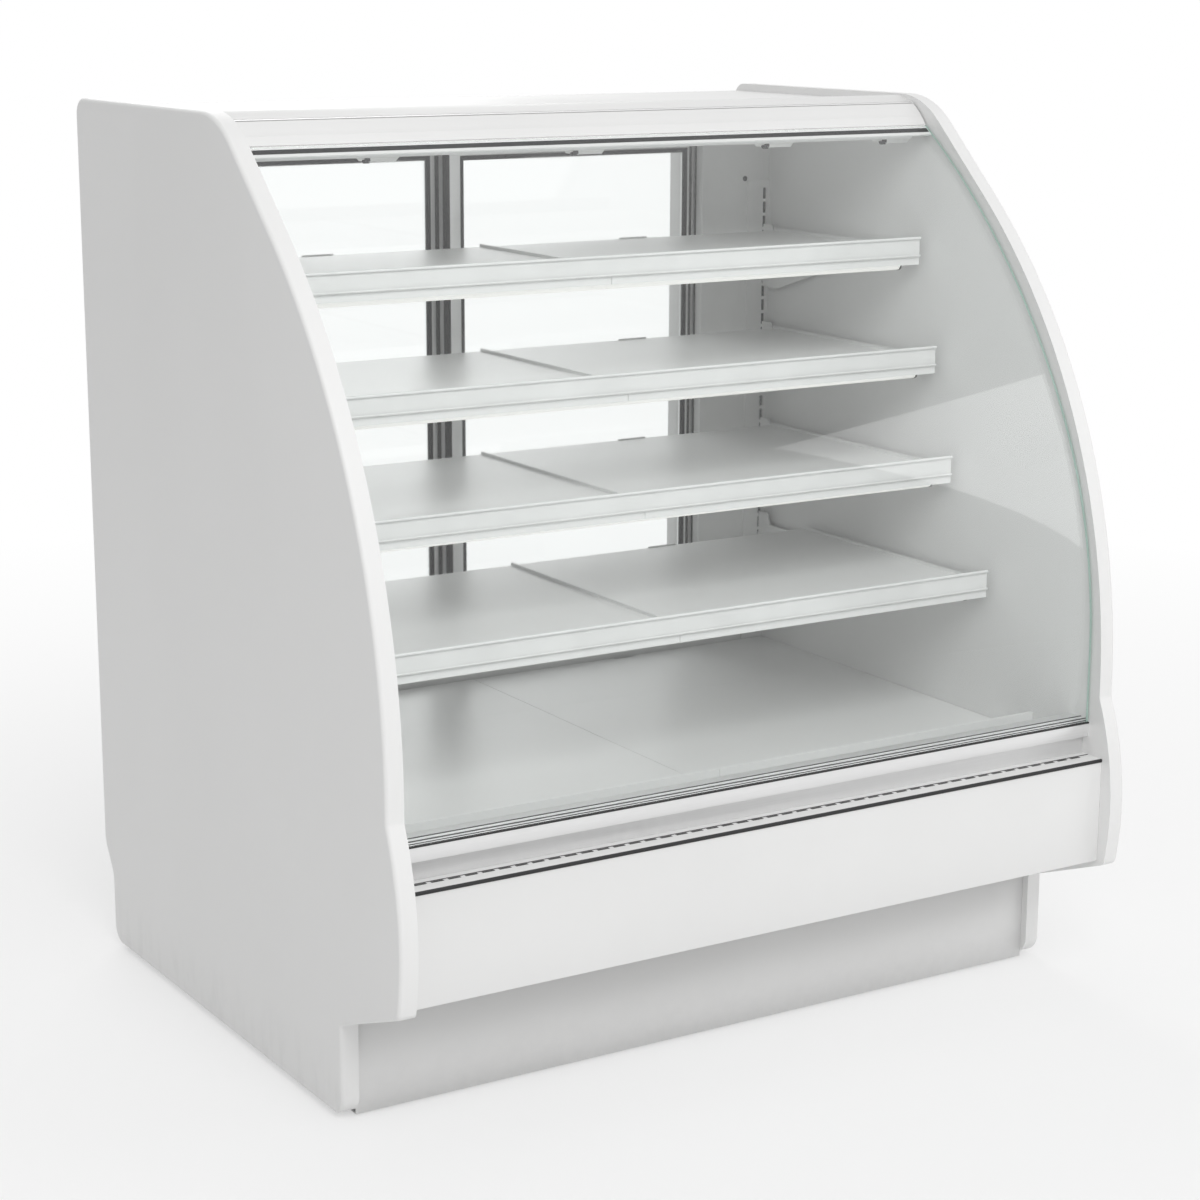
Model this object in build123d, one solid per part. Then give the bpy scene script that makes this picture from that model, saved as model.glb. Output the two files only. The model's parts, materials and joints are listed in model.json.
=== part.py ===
from build123d import *
from math import atan2, ceil, cos, pi, radians, sin, sqrt
import os

# Overall sizes
height = 1422.0
inner_width = 1251.0
depth = 1088.0
end_thickness = 28.5
half_in = inner_width / 2
half_out = half_in + end_thickness
rear_y = depth / 2
belly_y = -depth / 2

# Clearances
run_gap = 0.4
hinge_gap = 0.06
bore_gap = 0.05
end_gap = 3.0

# Sheet and wall thicknesses
sheet = 1.5
pan_sheet = 1.2
hood_wall = 2.5
post_wall = 2.0
rail_wall = 3.0
tub_wall = 30.0

# End panel outline
toe_y = belly_y + 189.0
toe_radius = 30.0
panel_bottom = 8.0
rear_toe_y = rear_y - 32.0
rear_step_low = 126.0
rear_step_high = 176.0
belly_z = 315.0
belly_radius = 445.0
belly_foot = 238.0
rim_radius = 6.0
front_y = belly_y + 36.7
waist_z = belly_z + sqrt(belly_radius ** 2 - (belly_radius - front_y + belly_y) ** 2)
front_rise = height - waist_z
front_z = waist_z + 0.0241 * front_rise
front_radius = 1.0986 * front_rise
front_angle = 0.826
crown_radius = 0.161 * front_rise
rear_radius = 28.0

# Sill nose, the lowest point of the glass
nose_z = 448.0
rise = height - nose_z

# Front glass, two tangent arcs over a short straight foot
glass_thickness = 6.0
glass_y = belly_y + 65.3
glass_z = nose_z + 0.1229 * rise
glass_radius_low = 0.8343 * rise
glass_angle = 0.463
glass_radius_high = 1.2305 * rise
glass_top_angle = radians(54.2)
low_center = (glass_y + glass_radius_low, glass_z)
radius_step = glass_radius_high - glass_radius_low
high_center = (low_center[0] + radius_step * cos(glass_angle), glass_z - radius_step * sin(glass_angle))
glass_top_y = high_center[0] - glass_radius_high * cos(glass_top_angle)
glass_top_z = high_center[1] + glass_radius_high * sin(glass_top_angle)

# Glass hinge, a bead that turns in a long socket
hinge_y = glass_top_y + 42.9
hinge_z = glass_top_z + 33.6
bead_radius = 5.0
socket_wall = 3.0
socket_open = (125.0, 240.0)
neck_thickness = 3.6
neck_angle = radians(205.7)
cap_wall = 3.0
cap_points = [(-10.5, 5.8), (-32.0, -12.4), (-44.6, -27.4)]
flange_thickness = 2.5
flange_length = 20.0

# Header and top
hood_rear = hinge_y + 31.0
hood_top = height - 2.0
hood_start = 1.0
top_z = height - 13.0
top_thickness = 44.0
top_under = top_z - top_thickness
lamp_top = hinge_z - 33.0
lamp_bottom = hinge_z - 53.0
lamp_front = hinge_y - 36.0
lamp_rear = hinge_y + 19.0
lamp_half = half_in - 21.5
clip_width = 57.0
clip_drop = 6.5

# Sill, ledge and front panel
ledge_z = nose_z - 54.0
panel_face_y = belly_y + 25.0
panel_foot_z = 224.0
kick_y = toe_y + 13.0
kick_top = 157.0
kick_flange = 20.0
sill_y = glass_y + 6.7
nose_y = glass_y - glass_thickness
sill_top = nose_z + 4.0
sill_back = glass_y + 42.7
sill_floor = sill_top - 12.0
seal_width = 3.6
seal_depth = 2.5
slot_pitch = 27.0
slot_length = 20.0
slot_width = 6.0
slot_count = int((inner_width - 36.0) / slot_pitch)

# Deck
deck_z = nose_z - 51.0
deck_front = glass_y + 130.7
deck_lip_z = deck_z + 35.0
deck_flange = 22.0
grille_depth = 60.0

# Rear frame and doors
frame_y = rear_y - 112.0
skin_rear = rear_y - 4.0
deck_rear = frame_y - 5.0
opening_half = half_in - 145.5
rear_sill_z = deck_z - 7.0
rear_sill_top = deck_z + 28.0
head_depth = 35.0
head_under = top_under - head_depth
groove_depth = 12.0
head_groove = 18.0
leaf_thickness = 16.0
near_track = rear_y - 80.0
far_track = rear_y - 52.0
outer_stile = 21.6
near_meeting = 28.0
far_meeting = 52.0
meeting_edge = 2.0
door_rail_low = 30.0
door_rail_high = 34.0
door_glass = 5.0
glass_bite = 10.0
pull_length = 180.0
pull_width = 14.0
seal_bar = 6.0

# Tub and machine compartment
tub_floor_z = deck_z - 132.0
tub_front = sill_y + 3.0
tub_rear = rear_y - 6.0
tub_fillet = 18.0
frame_bottom = 12.0
floor_top = 54.0
rail_size = 40.0
feet_back = 50.0
feet_in = 45.0
drain_radius = 13.0
fan_radius = 48.0
fan_x = half_in - 325.5
cond_fan_radius = 66.0
cond_x = 350.5 - half_in
cond_half = 185.0
cond_top = floor_top + 168.0
compressor_x = half_in - 295.5
compressor_radius = 78.0
coil_half = half_in - 85.5
coil_front = 200.0
coil_rear = 330.0

# Controls on the rear
box_left = half_in - 205.5
box_right = half_in - 53.5
box_depth = 108.0
control_z = 90.0
rocker_x = box_left + 50.0
knob_x = box_left + 105.0
gland_x = 35.5 - half_in

# Shelf standards
upright_inner = half_in - 47.5
upright_thickness = 3.0
upright_top = nose_z + 0.8263 * rise
upright_slot_x = half_in - 11.0
upright_slot_width = 7.0
upright_slot_pitch = 25.4
upright_slot_length = 20.0
upright_head = 14.5
screw_x = half_in - 53.5

# Shelves, each row is surface height and rail face as parts of the glass rise, then the rear setback
shelf_rows = [(0.7351, 0.4597, 41.0), (0.5524, 0.4073, 41.0), (0.3686, 0.3549, 41.0), (0.1869, 0.2492, 143.0)]
pan_half = half_in - 14.0
pan_split = 0.5
pan_front = 24.0
pan_skirt = 12.0
hem_height = 5.0
tab_width = 57.0
tab_height = 2.5
rail_half = half_in - 15.5
rail_rise = 23.0
rail_drop = 11.0
rail_lip = 2.2
light_half = half_in - 27.5
light_height = 24.0
light_depth = 28.0
light_back = 31.0
bracket_plate = 3.0
top_shelf_reach = frame_y - glass_y - shelf_rows[0][1] * rise
bracket_heel = 0.19873 * top_shelf_reach
bracket_bar = 13.0
bracket_ear = 9.0


def box(x0, x1, y0, y1, z0, z1):
    """Block between two corners."""
    return Pos((x0 + x1) / 2, (y0 + y1) / 2, (z0 + z1) / 2) * Box(x1 - x0, y1 - y0, z1 - z0)


def run_x(face, x0, x1):
    """Extrudes a face drawn in Y and Z from x0 to x1."""
    return Pos(x0, 0, 0) * extrude(Plane.YZ * face, x1 - x0)


def polygon(points):
    """Closed face through points."""
    return make_face(Polyline(*points, close=True))


def both_sides(body):
    """A right hand body and its mirror image on the left."""
    return Compound(children=[body, mirror(body, Plane.YZ)])


def round_corner(face, point, radius):
    """Rounds the corner of a face that is nearest to a point."""
    vertex = face.vertices().sort_by_distance(Vector(point[0], point[1], 0))[0]
    return fillet(vertex, radius)


def polar(center, r, a):
    return (center[0] + r * cos(a), center[1] + r * sin(a))


def ring_part(center, r0, r1, a0, a1):
    """Part of a ring between two radii and two angles, in radians."""
    mid = (a0 + a1) / 2
    outer = ThreePointArc(polar(center, r1, a0), polar(center, r1, mid), polar(center, r1, a1))
    inner = ThreePointArc(polar(center, r0, a1), polar(center, r0, mid), polar(center, r0, a0))
    return make_face([outer, Line(outer @ 1, inner @ 0), inner, Line(inner @ 1, outer @ 0)])


def cut_all(body, tools):
    """Takes a list of tools from a body, in one step."""
    return body - tools if tools else body


def standing(radius, x, y, z0, z1):
    """Upright round bar."""
    return Pos(x, y, z0) * Cylinder(radius, z1 - z0, align=(Align.CENTER, Align.CENTER, Align.MIN))


def along_x(radius, x0, x1, y, z):
    """Round bar along X."""
    return Pos((x0 + x1) / 2, y, z) * Rot(0, 90, 0) * Cylinder(radius, x1 - x0)


def along_y(radius, x, y0, y1, z):
    """Round bar along Y."""
    return Pos(x, (y0 + y1) / 2, z) * Rot(90, 0, 0) * Cylinder(radius, y1 - y0)


def glass_point(angle, out=0.0):
    """Point of the upper glass arc, out millimetres outside its inner face."""
    return polar(high_center, glass_radius_high + out, pi - angle)


def glass_band(r_in, r_out, bottom, top_angle):
    """Face between two offsets of the glass curve."""
    a = glass_angle

    def low(out, angle):
        return polar(low_center, glass_radius_low + out, pi - angle)

    outer_low = ThreePointArc(low(r_out, 0), low(r_out, a / 2), low(r_out, a))
    outer_high = ThreePointArc(low(r_out, a), glass_point((a + top_angle) / 2, r_out), glass_point(top_angle, r_out))
    inner_high = ThreePointArc(glass_point(top_angle, r_in), glass_point((a + top_angle) / 2, r_in), low(r_in, a))
    inner_low = ThreePointArc(low(r_in, a), low(r_in, a / 2), low(r_in, 0))
    foot_out = (glass_y - r_out, bottom)
    foot_in = (glass_y - r_in, bottom)
    edges = [
        Line(foot_out, outer_low @ 0), outer_low, outer_high, Line(outer_high @ 1, inner_high @ 0),
        inner_high, inner_low, Line(inner_low @ 1, foot_in), Line(foot_in, foot_out),
    ]
    return make_face(edges)


def circle_through(p, q, r):
    """Center and radius of the circle through three points."""
    ax, ay, bx, by, cx, cy = *p, *q, *r
    d = 2 * (ax * (by - cy) + bx * (cy - ay) + cx * (ay - by))
    pa, pb, pc = ax * ax + ay * ay, bx * bx + by * by, cx * cx + cy * cy
    x = (pa * (by - cy) + pb * (cy - ay) + pc * (ay - by)) / d
    y = (pa * (cx - bx) + pb * (ax - cx) + pc * (bx - ax)) / d
    return (x, y), sqrt((ax - x) ** 2 + (ay - y) ** 2)


def end_outline():
    """Outline of an end panel in Y and Z."""
    center = (front_y + front_radius, front_z)
    join = polar(center, front_radius, pi - front_angle)
    mid = polar(center, front_radius, pi - front_angle / 2)
    slope = sin(front_angle) / cos(front_angle)
    peak = (join[0] + (height - join[1]) * slope, height)
    belly_center = belly_y + belly_radius
    foot = (belly_center - sqrt(belly_radius ** 2 - (belly_z - belly_foot) ** 2), belly_foot)
    toe_top = kick_top - 6
    chin = (foot[0] + 3, belly_foot - 18)
    points = [
        (toe_y, toe_top), (toe_y, panel_bottom), (rear_toe_y, panel_bottom), (rear_toe_y, rear_step_low),
        (rear_y, rear_step_high), (rear_y, height), peak,
    ]
    edges = [
        Polyline(*points), Line(peak, join), ThreePointArc(join, mid, (front_y, front_z)),
        Line((front_y, front_z), (front_y, waist_z)),
        ThreePointArc((front_y, waist_z), (belly_y, belly_z), foot),
        Polyline(foot, chin, (toe_y, toe_top)),
    ]
    face = make_face(edges)
    corners = [
        ((toe_y, toe_top), 8), ((toe_y, panel_bottom), toe_radius), ((rear_toe_y, panel_bottom), toe_radius),
        ((rear_toe_y, rear_step_low), 40), ((rear_y, rear_step_high), 40), ((rear_y, height), rear_radius),
        (peak, crown_radius), (chin, 12), ((front_y, waist_z), 14),
    ]
    for point, radius in corners:
        face = round_corner(face, point, radius)
    return face


def end_panel(side):
    """Shaped side board with a rounded outer rim."""
    body = run_x(end_outline(), half_in, half_out)
    body = fillet(body.faces().sort_by(Axis.X)[-1].edges(), rim_radius)
    return body if side > 0 else mirror(body, Plane.YZ)


def top_panel():
    """Hollow top between the hood and the rear edge."""
    w = post_wall
    outer = polygon([(hood_rear, top_under), (skin_rear, top_under), (skin_rear, top_z), (hood_rear, top_z)])
    outer = round_corner(outer, (skin_rear, top_z), 6)
    inner = polygon([(hood_rear + w, top_under + w), (skin_rear - 2 * w, top_under + w),
                     (skin_rear - 2 * w, top_z - w), (hood_rear + w, top_z - w)])
    return run_x(outer - inner, -half_in, half_in)


def header_hood():
    """Fixed skin behind the hinge, with a rear leg and a lamp shelf."""
    w = hood_wall
    socket = bead_radius + socket_wall + bore_gap
    a = radians(109.5)
    edge = polar((hinge_y, hinge_z), socket, a)
    rear = (hood_rear, hood_top)
    slope = (hood_top - edge[1]) / (hood_rear - edge[0])
    start = hinge_y + hood_start
    front = (start, edge[1] + slope * (start - edge[0]))
    mid = ((front[0] + rear[0]) / 2, (front[1] + rear[1]) / 2 + 0.5)
    back = hood_rear - w
    skin = make_face([
        ThreePointArc(front, mid, rear), Line(rear, (hood_rear, lamp_top)), Line((hood_rear, lamp_top), (lamp_front + 5, lamp_top)),
        Line((lamp_front + 5, lamp_top), (lamp_front + 5, lamp_top + w)), Line((lamp_front + 5, lamp_top + w), (back, lamp_top + w)),
        Line((back, lamp_top + w), (back, hood_top - 1.25 * w)), Line((back, hood_top - 1.25 * w), (start, front[1] - 1.1 * w)),
        Line((start, front[1] - 1.1 * w), front),
    ])
    return run_x(skin - Pos(hinge_y, hinge_z) * Circle(socket), -half_in, half_in)


def hinge_rail():
    """Fixed socket that holds the bead of the glass rail over its whole length."""
    r = bead_radius + hinge_gap
    wall = bead_radius + socket_wall
    back = hood_rear - hood_wall
    ring = ring_part((hinge_y, hinge_z), r, wall, radians(socket_open[1] - 360), radians(socket_open[0]))
    arm = polygon([(hinge_y + r + 1, hinge_z - 1.5), (back - 1, hinge_z - 1.5), (back - 1, hinge_z + 1.5), (hinge_y + r + 1, hinge_z + 1.5)])
    foot = polygon([(back - 3, hinge_z - 20), (back, hinge_z - 20), (back, hinge_z + 9), (back - 3, hinge_z + 9)])
    return run_x(ring + arm + foot, -half_in, half_in)


def clamp_rail():
    """Bead, neck, rounded cap and inner flange on the top edge of the glass, in one extrusion."""
    center, radius = circle_through(*[(hinge_y + y, hinge_z + z) for y, z in cap_points])
    ends = [atan2(hinge_z + z - center[1], hinge_y + y - center[0]) % (2 * pi) for y, z in (cap_points[0], cap_points[2])]
    cap = ring_part(center, radius - cap_wall, radius, ends[0], ends[1])
    dy, dz = hinge_y - center[0], hinge_z - center[1]
    reach = radius - cap_wall / 2
    along = dy * cos(neck_angle) + dz * sin(neck_angle)
    length = -along + sqrt(along ** 2 - dy ** 2 - dz ** 2 + reach ** 2)
    h = neck_thickness / 2
    neck = Pos(hinge_y, hinge_z) * Rot(0, 0, neck_angle * 180 / pi) * Pos(length / 2, 0) * Rectangle(length, 2 * h)
    bead = Pos(hinge_y, hinge_z) * Circle(bead_radius)
    r = glass_radius_high
    t = glass_thickness
    foot = pi - glass_top_angle - 0.1 / r
    block = ring_part(high_center, r - flange_thickness, r + t - 2.0, foot - 5.0 / r, foot)
    flange = ring_part(high_center, r - flange_thickness, r, foot - 4.0 / r, foot + flange_length / r)
    span = half_in - end_gap
    return run_x(cap + neck + bead + block + flange, -span, span)


def front_glass():
    span = half_in - end_gap
    return run_x(glass_band(0, glass_thickness, nose_z + run_gap, glass_top_angle), -span, span)


def glass_sill():
    """Stepped receiver under the glass, with a groove for its seal."""
    step_y = glass_y + run_gap
    bead = step_y + 8.3
    points = [
        (sill_y, ledge_z + sheet), (sill_y, ledge_z + 26), (nose_y, ledge_z + 30), (nose_y, nose_z), (step_y, nose_z),
        (step_y, sill_top), (bead, sill_top), (bead, sill_top - 2), (bead + 3, sill_top - 2), (bead + 3, sill_top),
        (sill_back, sill_top), (sill_back, sill_floor), (tub_front, sill_floor), (tub_front, ledge_z - 24),
        (sill_y, ledge_z - 24),
    ]
    body = run_x(polygon(points), -half_in, half_in)
    seal_y = nose_y + 1.1
    return body - box(-half_in, half_in, seal_y, seal_y + seal_width, nose_z - seal_depth, nose_z + 1)


def vent_ledge():
    """Flat ledge in front of the glass with one row of air slots."""
    body = box(-half_in, half_in, panel_face_y + sheet, sill_y, ledge_z - sheet, ledge_z)
    lip = box(-half_in, half_in, panel_face_y + sheet, panel_face_y + 2 * sheet, ledge_z - 16, ledge_z - sheet)
    first = -slot_pitch * (slot_count - 1) / 2
    y = sill_y - 18.5
    h = slot_width / 2
    cuts = []
    for i in range(slot_count):
        x = first + i * slot_pitch
        cuts.append(box(x - slot_length / 2, x + slot_length / 2, y - h, y + h, ledge_z - 3, ledge_z + 1))
    return cut_all(body + lip, cuts)


def front_panel():
    """Front skin with a sloping return under the belly."""
    y = panel_face_y
    points = [
        (y, ledge_z), (y, panel_foot_z), (kick_y, kick_top), (kick_y, kick_top + sheet),
        (y + sheet, panel_foot_z + sheet), (y + sheet, ledge_z),
    ]
    return run_x(polygon(points), -half_in, half_in)


def kick_plate():
    """Recessed toe plate with a top and a bottom flange."""
    y = kick_y
    top = kick_top - run_gap
    points = [
        (y, 4), (y, top), (y + kick_flange, top), (y + kick_flange, top - sheet), (y + sheet, top - sheet),
        (y + sheet, 4 + sheet), (y + kick_flange, 4 + sheet), (y + kick_flange, 4),
    ]
    return run_x(polygon(points), -half_in, half_in)


def base_frame():
    """Open channel frame and floor sheet of the machine compartment."""
    y0 = kick_y + sheet
    y1 = rear_toe_y - 4
    top = floor_top - sheet
    w = rail_wall
    s = rail_size
    body = box(-half_in, half_in, y0, y1, top, floor_top)
    hollows = []
    for y in (y0 + feet_back - s / 2, y1 - s):
        body = body + box(-half_in, half_in, y, y + s, frame_bottom, top)
        hollows.append(box(-half_in + w, half_in - w, y + w, y + s - w, frame_bottom - 1, top - w))
    for x in (-half_in, -s / 2, half_in - s):
        body = body + box(x, x + s, y0, y1, frame_bottom, top)
        hollows.append(box(x + w, x + s - w, y0 + w, y1 - w, frame_bottom - 1, top - w))
    body = cut_all(body, hollows)
    for x in (-half_in + feet_in, half_in - feet_in):
        for y in (y0 + feet_back, y1 - s / 2):
            pad = box(x - 15, x + 15, y - s / 2, y + s / 2, frame_bottom, frame_bottom + 4)
            body = body + pad
            body = body - standing(6.2, x, y, frame_bottom - 1, frame_bottom + 25)
    return body


def levelling_feet():
    """Screwed feet, a pad, a nut and a stem each."""
    feet = []
    y0 = kick_y + sheet + feet_back
    y1 = rear_toe_y - 4 - rail_size / 2
    for x in (-half_in + feet_in, half_in - feet_in):
        for y in (y0, y1):
            pad = chamfer(standing(22, x, y, 0, 7).edges().sort_by(Axis.Z)[-1], 2)
            nut = Pos(x, y, 7) * extrude(RegularPolygon(10, 6), frame_bottom - 7)
            feet.append(pad + nut + standing(6, x, y, 7, frame_bottom + 23))
    return Compound(children=feet)


def insulated_tub():
    """Foam filled trough under the deck, open to the end panels."""
    w = tub_wall
    rear_top = rear_sill_z
    points = [
        (tub_front, sill_floor), (tub_front, tub_floor_z - w), (tub_rear, tub_floor_z - w), (tub_rear, rear_top),
        (tub_rear - w, rear_top), (tub_rear - w, tub_floor_z), (tub_front + w, tub_floor_z), (tub_front + w, sill_floor),
    ]
    face = polygon(points)
    for point in ((tub_rear - w, tub_floor_z), (tub_front + w, tub_floor_z)):
        face = round_corner(face, point, tub_fillet)
    return run_x(face, -half_in, half_in) - standing(drain_radius, 0, 120, tub_floor_z - w - 5, tub_floor_z + 5)


def deck_pans():
    """Two removable floor pans with an upturned front lip."""
    x0, x1 = (pan_split, half_in - 1.0)
    t = sheet
    low = deck_z - deck_flange
    pan = box(x0, x1, deck_front, deck_rear, deck_z - t, deck_z)
    pan = pan + box(x0, x1, deck_front, deck_front + t, low, deck_lip_z)
    pan = pan + box(x0, x1, deck_front, deck_front + 7, deck_lip_z - t, deck_lip_z)
    pan = pan + box(x0, x1, deck_rear - t, deck_rear, low, deck_z - t)
    pan = pan - Pos((x0 + x1) / 2, deck_rear, deck_z) * Box(40, 16, 10)
    return both_sides(pan)


def return_air_grille():
    """Slotted sheet between the sill and the deck."""
    y0 = tub_front + tub_wall
    y1 = deck_front + grille_depth
    z = deck_z - deck_flange
    body = box(-half_in, half_in, y0, y1, z - sheet, z)
    columns = 16
    step = inner_width / columns
    cuts = []
    for i in range(columns):
        x = -half_in + (i + 0.5) * step
        for y in (y0 + 20, y0 + 40, y0 + 60):
            cuts.append(box(x - 30, x + 30, y - 3, y + 3, z - 3, z + 1))
    return cut_all(body, cuts)


def rear_jambs():
    """Hollow folded posts beside the rear doors."""
    x0 = opening_half
    w = post_wall
    notch = x0 + seal_bar
    y0 = near_track - 12
    y1 = far_track + 12
    outer = polygon([
        (x0, frame_y), (half_in, frame_y), (half_in, skin_rear), (x0, skin_rear),
        (x0, y1), (notch, y1), (notch, y0), (x0, y0),
    ])
    inner = polygon([(notch + w, frame_y + w), (half_in - w, frame_y + w), (half_in - w, skin_rear - w), (notch + w, skin_rear - w)])
    return both_sides(Pos(0, 0, rear_sill_top) * extrude(outer - inner, head_under - rear_sill_top))


def rubber_seals():
    """Strip in the sill groove and a strip on each rear post."""
    seal_y = nose_y + 1.1
    strip = box(-half_in, half_in, seal_y, seal_y + seal_width, nose_z - seal_depth, nose_z)
    bar = box(opening_half, opening_half + seal_bar, near_track - 12, far_track + 12, rear_sill_top, head_under)
    return Compound(children=[strip, bar, mirror(bar, Plane.YZ)])


def rear_beam(z0, z1, groove_z0, groove_z1, hollow_z0, hollow_z1):
    """Hollow beam across the rear with two door grooves."""
    w = post_wall
    body = box(-half_in, half_in, frame_y, skin_rear, z0, z1)
    half = leaf_thickness / 2 + run_gap
    for y in (near_track, far_track):
        body = body - box(-opening_half, opening_half, y - half, y + half, groove_z0, groove_z1)
    body = body - box(-half_in - 1, half_in + 1, frame_y + w, skin_rear - 3 * w, hollow_z0, hollow_z1)
    return body - box(-half_in - 1, half_in + 1, frame_y + w, near_track - half - w, z0 + w, z1 - w)


def rear_sill():
    w = post_wall
    floor = rear_sill_top - groove_depth
    body = rear_beam(rear_sill_z, rear_sill_top, floor, rear_sill_top + 1, rear_sill_z + w, floor - w)
    return fillet(body.edges().filter_by(Axis.X).group_by(Axis.Y)[-1].sort_by(Axis.Z)[-1], 4)


def rear_head():
    w = post_wall
    ceiling = head_under + head_groove
    return rear_beam(head_under, top_under, head_under - 1, ceiling, ceiling + w, top_under - w)


def door_box(side):
    """Left, right, bottom and top edge of a door leaf at rest, and its two stile widths."""
    edge = opening_half - run_gap
    z0 = rear_sill_top - groove_depth + run_gap
    z1 = head_under + groove_depth
    if side > 0:
        return meeting_edge - near_meeting, edge, z0, z1, near_meeting, outer_stile
    return -edge, meeting_edge, z0, z1, outer_stile, far_meeting


def door_pane(side):
    """Glass of a door leaf, let into its frame."""
    x0, x1, z0, z1, left, right = door_box(side)
    y = near_track if side > 0 else far_track
    g = door_glass / 2
    b = glass_bite
    return box(x0 + left - b, x1 - right + b, y - g, y + g, z0 + door_rail_low - b, z1 - door_rail_high + b)


def door_frame(side):
    """Edge frame of a leaf with a finger pull in its outer stile."""
    x0, x1, z0, z1, left, right = door_box(side)
    y = near_track if side > 0 else far_track
    h = leaf_thickness / 2
    body = box(x0, x1, y - h, y + h, z0, z1)
    body = body - box(x0 + left, x1 - right, y - h - 1, y + h + 1, z0 + door_rail_low, z1 - door_rail_high)
    body = body - door_pane(side)
    pull_x = x1 - right / 2 if side > 0 else x0 + left / 2
    middle = (z0 + z1) / 2
    low = middle - pull_length / 2
    pull = box(pull_x - pull_width / 2, pull_x + pull_width / 2, y + h - 5, y + h + 1, low, low + pull_length)
    return body - pull


def upright_slots():
    """Top of each slot of a standard, from the highest down."""
    count = int((upright_top - upright_head - deck_z) / upright_slot_pitch)
    return [upright_top - upright_head - i * upright_slot_pitch for i in range(count)]


def uprights():
    """Slotted standards on the rear posts."""
    y0 = frame_y - upright_thickness
    body = box(upright_inner, half_in, y0, frame_y, deck_z, upright_top)
    w = upright_slot_width / 2
    cuts = []
    for z in upright_slots():
        cuts.append(box(upright_slot_x - w, upright_slot_x + w, y0 - 1, frame_y + 1, z - upright_slot_length, z))
    return both_sides(cut_all(body, cuts))


def shelf_place(row):
    """Surface height, rear edge and rail face of a shelf."""
    up, forward, back = shelf_rows[row]
    return nose_z + up * rise, frame_y - back, glass_y + forward * rise


def shelf_pans(row):
    """Left and right shelf pan with folded rims and side hems."""
    z, rear, rail = shelf_place(row)
    t = pan_sheet
    front = rail + 2.0
    x0, x1 = (pan_split, pan_half)
    body = box(x0, x1, front, rear, z - t, z)
    body = body + box(x0, x1, front, front + t, z - pan_front, z)
    body = body + box(x0, x1, rear - t, rear, z - pan_skirt, z)
    for x in (x0, x1 - t):
        body = body + box(x, x + t, front, rear, z - pan_skirt, z + hem_height)
    mid = (x0 + x1) / 2
    return both_sides(body + box(mid - tab_width / 2, mid + tab_width / 2, rear - t, rear, z - t, z + tab_height))


def tag_rail(row):
    """Front rail with rolled lips that hold tags."""
    z, rear, rail = shelf_place(row)
    z0 = z - rail_drop
    z1 = z + rail_rise
    body = box(-rail_half, rail_half, rail, rail + 2, z0, z1)
    for lip in (z0 + rail_lip, z1 - rail_lip):
        body = body + along_x(rail_lip, -rail_half, rail_half, rail - 1.2, lip)
    return body


def shelf_light(row):
    """Lamp bar with a rounded lens hung under the shelf front."""
    z, rear, rail = shelf_place(row)
    y0 = rail + light_back
    y1 = y0 + light_depth
    z1 = z - rail_drop - 1
    z0 = z1 - light_height
    face = polygon([(y0, z0), (y1, z0), (y1, z1), (y0, z1)])
    for point in ((y0, z0), (y1, z0)):
        face = round_corner(face, point, 9)
    body = run_x(face, -light_half, light_half)
    for x0, x1 in ((-light_half, -6), (6, light_half)):
        body = body + box(x0, x1, y0 + 12, y0 + 16, z1, z - pan_sheet)
    return body


def shelf_bracket(row):
    """Cantilever plates with hooks in the standards and a flange under the pans."""
    z, rear, rail = shelf_place(row)
    web0 = upright_slot_x - bracket_plate / 2
    web1 = upright_slot_x + bracket_plate / 2
    seat = z - pan_skirt
    heel = frame_y - upright_thickness
    tip = rail + 62
    low = seat - bracket_heel
    rise_y = heel - 48 - (bracket_heel - bracket_bar) / 0.31
    ear = max(rear + 2, heel - 36)
    points = [
        (heel, z + bracket_ear), (ear + 10, z + bracket_ear), (ear, seat), (tip, seat), (tip, seat - bracket_bar),
        (rise_y, seat - bracket_bar), (heel - 48, low), (heel, low),
    ]
    face = polygon(points)
    face = round_corner(face, (heel - 48, low), 30)
    face = round_corner(face, (rise_y, seat - bracket_bar), 60)
    face = round_corner(face, (tip, seat - bracket_bar), 6)
    body = run_x(face, web0, web1)
    body = body + box(web1 - 24, web1, tip, min(rear, heel - 40), seat - 2, seat)
    tops = [top for top in upright_slots() if top <= seat - 4][:3]
    for top in (tops[0], tops[2]):
        body = body + box(web0, web1, heel, frame_y - 0.2, top - upright_slot_length + 1, top - 4)
    return both_sides(body - along_x(5, web0 - 1, web1 + 1, heel - 30, seat - 50))


def canopy_light():
    """Lamp housing under the header, with a sloped front."""
    points = [
        (lamp_front, lamp_bottom + 14), (lamp_front + 7, lamp_bottom), (lamp_rear, lamp_bottom), (lamp_rear, lamp_top),
        (lamp_front + 5, lamp_top),
    ]
    return run_x(polygon(points), -lamp_half, lamp_half)


def light_clips():
    """Tapered clips under the canopy lamp."""
    out = []
    h = clip_width / 2
    z = lamp_bottom
    for part in (-0.62, -0.043, 0.5355, 0.9177):
        x = part * half_in
        points = [(x - h, z), (x - h + 6, z - clip_drop), (x + h - 6, z - clip_drop), (x + h, z)]
        out.append(Pos(0, lamp_rear - 12, 0) * extrude(Plane.XZ * polygon(points), 34))
    return Compound(children=out)


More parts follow.
